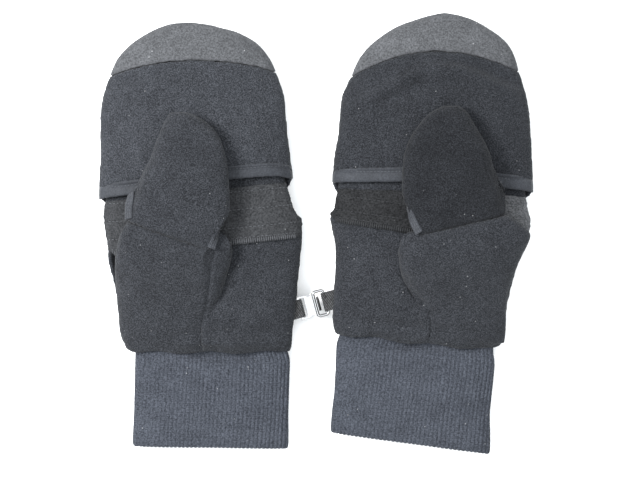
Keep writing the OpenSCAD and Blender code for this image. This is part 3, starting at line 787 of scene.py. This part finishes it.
def patch(hand):
    """The brushed patch at the fingers' roots, with an overlocked lower edge and rows of stitching."""
    node = f"{hand}_palm_patch"
    obj = cloth_from(node, 0.55 * MM, rounds=4)
    edge = low_edge(obj, 220, inset=0.03, level=0.25)
    co = drift(points_of(obj))
    gap, _ = along(edge, co)
    roll = 0.55 * MM * bell((gap - 1.2 * MM) / (1.5 * MM))
    low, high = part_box(node)
    lines = [shifted(edge, share * (high.y - low.y)) for share in PATCH_ROWS]
    rows = sum(ridge(line, co, width=1.6 * MM, height=-0.3 * MM, taper=0) for line in lines)
    fine = 0.16 * MM * noise(co, 5 * MM, 31) + 0.07 * MM * noise(co, 1.3 * MM, 32)
    near = hug(co, 0.5 * MM)
    co += normals_of(obj) * ((roll + rows + 0.15 * MM) * (1 - near) + fine)[:, None]
    set_points(obj, co)
    wear(obj, node)
    # The right hand's stitches get the thread with painted shade
    yarn = THREAD if hand == "left" else THREAD_PAINTED_SHADE
    sew(f"{hand}_patch_stitches", obj, lines + [shifted(edge, 3.6 * MM)], node, yarn=yarn)
    sew(f"{hand}_patch_overlock", obj, [shifted(edge, 1.6 * MM)], node,
        length=3.0 * MM, pitch=1.3 * MM, thick=0.5 * MM, across=True, yarn=yarn)


# ---------------------------------------------------------------- the thumb cap

# The slit's edge round the thumb: the angle round the section in degrees, from the palm's side over the nail
# side, and how far above the seam the edge runs there
SLIT_START = 34
SLIT = ((SLIT_START, 0), (28, 6), (20, 13), (6, 17), (-12, 18), (-50, 18), (-90, 18), (-140, 17),
        (-176, 14), (-186, 8), (-197, 0))
TAPE_END = {"left": -197, "right": -150}  # the angle at which the strip's hidden end is tucked in
THUMB_HALF_WIDTH = 26 * MM
SEAM_LAP = 0.3 * MM  # how far the thumb cap and the thumb's base each reach past their seam


def thumb_frame(hand):
    """The middle of the thumb's seam, and the slope and the half sizes of the section there."""
    joint = next(j for j in frame["joints"] if j["name"] == f"{hand}_thumb_flip")
    axis = joint["axis"]
    low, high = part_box(f"{hand}_thumb_cap_back")
    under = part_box(f"{hand}_thumb_cap_pad")[0].z
    middle = np.array([joint["pos_m"][0], joint["pos_m"][1], (under + high.z) / 2])
    return middle, axis[1] / axis[0], THUMB_HALF_WIDTH, (high.z - under) / 2


def seam_place(hand, co):
    """Offsets from the middle of the thumb's seam, heights above the seam, and shares of the upper side."""
    middle, slope, _, _ = thumb_frame(hand)
    off = co - middle
    return off, off[:, 1] - slope * off[:, 0], smooth_step((off[:, 2] + 2 * MM) / (6 * MM))


def seam_groove(height):
    """How deep the cloth dips at a height above or below the thumb's seam."""
    return 0.9 * MM * bell(height / (1.6 * MM))


def slit_rise(hand, degrees):
    """How far above the seam the slit's edge runs at an angle round the thumb."""
    angles, rises = zip(*SLIT[::-1])
    degrees = degrees if hand == "left" else 180 - degrees
    turned = (degrees - SLIT_START + 360) % 360 - 360 + SLIT_START
    return smooth_lookup(turned, np.array(angles), np.array(rises) * MM)


def smooth_lookup(at, places, values):
    """A value between the given ones, which change softly from one to the next, and 0 outside them."""
    spot = np.clip(np.searchsorted(places, at) - 1, 0, len(places) - 2)
    t = smooth_step((at - places[spot]) / (places[spot + 1] - places[spot]))
    inside = values[spot] + (values[spot + 1] - values[spot]) * t
    return np.where((at < places[0]) | (at > places[-1]), 0, inside)


def lift_slit(hand, obj, own_depth):
    """Draws the cap's open edge up to the slit's edge. Its underside already runs up by `own_depth`."""
    _, _, half_x, half_z = thumb_frame(hand)
    co = points_of(obj)
    off, height, upper = seam_place(hand, co)
    angle = np.degrees(np.arctan2(off[:, 2] / half_z, off[:, 0] / half_x))
    own = own_depth * (1 - np.clip(np.abs(off[:, 0]) / half_x, 0, 1) ** 2)
    reach = 34 * MM
    fade = np.clip(1 - (height - own) / reach, 0, 1)
    co[:, 1] += (slit_rise(hand, angle) - own) * fade - SEAM_LAP * smooth_step(1 - height / (4 * MM))
    co[:, 2] -= upper * seam_groove(height)
    set_points(obj, co)


def slit_tape(hand, pieces):
    """The tape that binds the slit: it shows at one side of the nail side and runs round under the pad."""
    middle, slope, half_x, half_z = thumb_frame(hand)
    verts, triangles = [], []
    for piece in pieces:
        piece.data.calc_loop_triangles()
        triangles += [tuple(len(verts) + v for v in t.vertices) for t in piece.data.loop_triangles]
        verts += [tuple(v.co) for v in piece.data.vertices]
    tree = BVHTree.FromPolygons(verts, triangles)
    points, ups = [], []
    inward = 1.8 * MM
    for turn in np.linspace(SLIT_START, TAPE_END[hand], 150):
        degrees = turn if hand == "left" else 180 - turn
        rise = float(slit_rise(hand, np.array([degrees]))[0]) + inward
        a = math.radians(degrees)
        out = Vector((half_x * math.cos(a), slope * half_x * math.cos(a), half_z * math.sin(a)))
        start = Vector(middle) + Vector((0, rise, 0)) + out * 1.5
        place, normal, _, _ = tree.ray_cast(start, -out.normalized())
        if place is not None:
            points.append(tuple(place))
            ups.append(tuple(normal))
    points, ups = np.array(points), np.array(ups)
    facing = smooth_step((ups[:, 2] + 0.4) / 0.5)
    points[:, 2] += 1.5 * MM * facing * (1 - np.abs(ups[:, 2]))
    ups[:, 2] += 2.0 * facing
    ups /= np.linalg.norm(ups, axis=1)[:, None]
    for _ in range(24):
        points[1:-1] += 0.5 * ((points[:-2] + points[2:]) / 2 - points[1:-1])
        ups[1:-1] += 0.5 * ((ups[:-2] + ups[2:]) / 2 - ups[1:-1])
    node = f"{hand}_thumb_cap_binding"
    line = curve_through(points, 220)
    line_ups = curve_through(ups, 220)
    strip = tape(node + "_tape", line + 0.5 * MM * line_ups, line_ups, width=4.8 * MM, thick=1.3 * MM)
    wear(strip, node)
    _, up, side = frames_along(line, line_ups)
    runs = [(line + side * by * MM + up * 1.12 * MM, up) for by in (-1.3, 0.2, 1.4)]
    rows = stitches(node + "_stitches", runs, length=1.4 * MM, pitch=2.0 * MM, thick=0.26 * MM)
    wear(rows, node, THREAD, stands_for=False)


def thumb_cap(hand):
    """The two fleece sides of the thumb's cap, and the strip that binds its slit."""
    pieces = []
    for seed, (part, own_depth) in enumerate((("thumb_cap_back", 0), ("thumb_cap_pad", 15 * MM))):
        node = f"{hand}_{part}"
        obj = cloth_from(node, 0.9 * MM)
        lift_slit(hand, obj, own_depth)
        pieces.append(wear(soften(obj, 40 + seed), node))
    slit_tape(hand, pieces)


# ---------------------------------------------------------------- stalls and hems


def stalls(hand):
    """The stalls under the caps, and the hems round their mouths."""
    for seed, part in enumerate(("index_stall", "middle_stall", "ring_stall", "little_stall", "thumb_stall")):
        node = f"{hand}_{part}"
        voxel = 0.5 if part == "thumb_stall" else 0.75
        wear(soften(cloth_from(node, voxel * MM, rounds=5), 50 + seed, swell=0.15 * MM), node)
    for part in ("stall_hems", "thumb_stall_hem"):
        node = f"{hand}_{part}"
        hem = cloth_from(node, 0.4 * MM, rounds=4)
        wear(soften(hem, 60, swell=0.12 * MM, pile=0.03 * MM, dimple=0.1 * MM), node)


# ---------------------------------------------------------------- the rib-knit cuff

RIBS = 80
RIB_STEPS = 6  # points across each rib
RIB_RISE = 0.55 * MM
WALL = 2.4 * MM
ROW_STEP = 0.9 * MM
INSIDE = 24 * MM  # how far the knit runs up the inner wall
# The dent of each cuff where the fleece's edge lies on it: a line, its width and its rise
CUFF_DENTS = {
    "left": [(spots("left_palm_panel", (0.40, -0.01), (0.58, -0.03), (0.82, -0.01)), 6 * MM, -3.0 * MM)],
    "right": [(spots("right_palm_panel", (0.20, 0.0), (0.40, 0.01), (0.60, -0.01)), 6 * MM, -2.6 * MM)]}


def ring_of(tree, middle, slope, half_x, half_z, count):
    """The points where a slanted section cuts the cuff's outer wall, at equal distances round it."""
    found = []
    for turn in np.linspace(-np.pi / 2, 1.5 * np.pi, 361)[:-1]:
        out = Vector((half_x * math.cos(turn), slope * half_x * math.cos(turn), half_z * math.sin(turn)))
        place, _, _, _ = tree.ray_cast(Vector(middle) + out * 2, -out.normalized())
        if place is not None:
            found.append(tuple(place))
    loop = np.array(found + found[:1])
    run = distances(loop)
    return sample(np.linspace(0, run[-1], count, endpoint=False), run, loop)


def cuff(hand):
    """The cuff as one tube of ribs: up the inner wall a little way, round the mouth and up the outer wall."""
    node = f"{hand}_cuff"
    source = frame["nodes"][node]
    slope = CUFF_SLOPE[hand]
    tree = tree_of(source)
    low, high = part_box(node)
    middle_x, half_z = (low.x + high.x) / 2, (high.z - low.z) / 2
    heights = points_of(source)[:, 1] - slope * (points_of(source)[:, 0] - middle_x)
    mouth, top = heights.min(), heights.max()
    count = RIBS * RIB_STEPS
    share = np.arange(count) % RIB_STEPS / RIB_STEPS
    rib = RIB_RISE * (np.abs(np.sin(np.pi * share)) ** 0.7 - 0.5)

    radius = WALL / 2
    rows = [(mouth + h, WALL, 0.0) for h in np.arange(INSIDE, radius, -2 * ROW_STEP)]
    for turn in np.linspace(0, math.pi, 8):
        rows.append((mouth + radius * (1 - math.sin(turn)), radius * (1 + math.cos(turn)), math.sin(turn)))
    rows += [(h, 0.0, 0.0) for h in np.arange(mouth + radius + ROW_STEP, top - 0.4 * MM, ROW_STEP)]
    verts = []
    for height, inset, down in rows:
        at = max(height, mouth + 0.5 * MM)
        ring = ring_of(tree, (middle_x, at, low.z + half_z), slope, half_x=(high.x - low.x) / 2,
                       half_z=half_z, count=count)
        tangent = np.roll(ring, -3, axis=0) - np.roll(ring, 3, axis=0)
        out = np.column_stack([tangent[:, 2], np.zeros(count), -tangent[:, 0]])
        out /= np.linalg.norm(out, axis=1)[:, None]
        outer = 1 if inset < radius + 0.1 * MM else -1
        push = out * math.sqrt(1 - down**2) * outer + np.array([0, -down, 0])
        ring[:, 1] += height - at
        ring[:, 2] = RIB_RISE + ring[:, 2] * (1 - RIB_RISE / (high.z - low.z))
        verts.append(ring - out * inset + push * rib[:, None])
    obj = new_object(node + "_knit", np.concatenate(verts), grid_faces(len(rows), count, wrap_columns=True))
    co = drift(points_of(obj))
    for line, width, rise in CUFF_DENTS[hand]:
        co[:, 2] += upper_side(co, depth=4 * MM) * ridge(line, co, width, rise)
    co[:, 2] = np.maximum(co[:, 2], 0)
    set_points(obj, co)
    wear(obj, node)


# ---------------------------------------------------------------- the clip

RIM_LEAN = 0.95  # a face whose normal's Z is below this belongs to the rounded rim


def metal(node):
    """A copy of a CAD node with its sharp edges rounded. The rounded rim is darker than the flats: a painted
    dark reflection.
    """
    obj = cloth_from(node, 0.16 * MM, name=node + "_metal")
    wear(obj, node)
    obj.data.materials.append(RIM_PAINTED_REFLECTION)
    up = np.empty(len(obj.data.polygons) * 3)
    obj.data.polygons.foreach_get("normal", up)
    rim = np.abs(up.reshape(-1, 3)[:, 2]) < RIM_LEAN
    obj.data.polygons.foreach_set("material_index", rim.astype(np.int32))


def tab(hand):
    """A loop of webbing, with its cords running along the clip's direction."""
    node = f"{hand}_clip_tab"
    obj = cloth_from(node, 0.22 * MM, rounds=3)
    pin = next(j for j in frame["joints"] if j["name"] == "clip_hook_swing")["axis"]
    co = points_of(obj)
    across = co[:, 0] * pin[0] + co[:, 1] * pin[1]
    co += normals_of(obj) * (0.1 * MM * np.cos(2 * np.pi * across / (1.1 * MM)) + 0.08 * MM)[:, None]
    set_points(obj, co)
    wear(obj, node)


# ---------------------------------------------------------------- the scene

# How bright the sky is: the least and the greatest height of a direction, and the strength at each
SKY = {"From Min": 0.2, "From Max": 0.6, "To Min": 0.8, "To Max": 2.3}
SKY_TONE = (0.95, 0.98, 1.0, 1)
WINDOW = {"place": (-0.8, 0.3, 1.0), "aim": (0, 0, 0), "size": 0.5, "power": 32}
LENS = 122
SENSOR = 36
CAMERA_PLACE = (2.4 * MM, -4.2 * MM, 1.3)


def floor():
    """A plain white table just under the mittens."""
    s = Surface("table", Roughness=0.9, Specular_IOR_Level=0.1, Base_Color=(0.95, 0.95, 0.95, 1))
    half = 3.0
    z = -0.4 * MM
    obj = new_object("table_top", [(-half, -half, z), (half, -half, z), (half, half, z), (-half, half, z)],
                     [(0, 1, 2, 3)])
    obj.data.materials.append(s.material)


def light(name, place, aim, size, power):
    """A round area light at a place, turned towards its aim."""
    lamp = bpy.data.lights.new(name, "AREA")
    lamp.shape = "DISK"
    lamp.size = size
    lamp.energy = power
    obj = bpy.data.objects.new(name, lamp)
    bpy.context.scene.collection.objects.link(obj)
    obj.location = place
    obj.rotation_euler = (Vector(aim) - Vector(place)).to_track_quat("-Z", "Y").to_euler()


def studio():
    """The sky, the window's light and the camera."""
    scene = bpy.context.scene
    scene.view_settings.view_transform = "Standard"
    world = bpy.data.worlds.new("sky")
    world.use_nodes = True
    nodes, links = world.node_tree.nodes, world.node_tree.links
    direction = nodes.new("ShaderNodeTexCoord").outputs["Generated"]
    split = nodes.new("ShaderNodeSeparateXYZ")
    links.new(direction, split.inputs[0])
    glow = nodes.new("ShaderNodeMapRange")
    for socket, value in SKY.items():
        glow.inputs[socket].default_value = value
    links.new(split.outputs["Z"], glow.inputs["Value"])
    background = nodes["Background"]
    background.inputs["Color"].default_value = SKY_TONE
    links.new(glow.outputs[0], background.inputs["Strength"])
    scene.world = world
    light("window", **WINDOW)
    eye = bpy.data.cameras.new("camera")
    eye.lens = LENS
    eye.sensor_width = SENSOR
    camera = bpy.data.objects.new("camera", eye)
    scene.collection.objects.link(camera)
    camera.location = CAMERA_PLACE
    scene.camera = camera


for hand in HANDS:
    hand_cloth(hand)
    cap_cloth(hand)
    binding(hand)
    patch(hand)
    thumb_cap(hand)
    stalls(hand)
    cuff(hand)
    tab(hand)
metal("clip_hook")
metal("clip_ring")
floor()
studio()
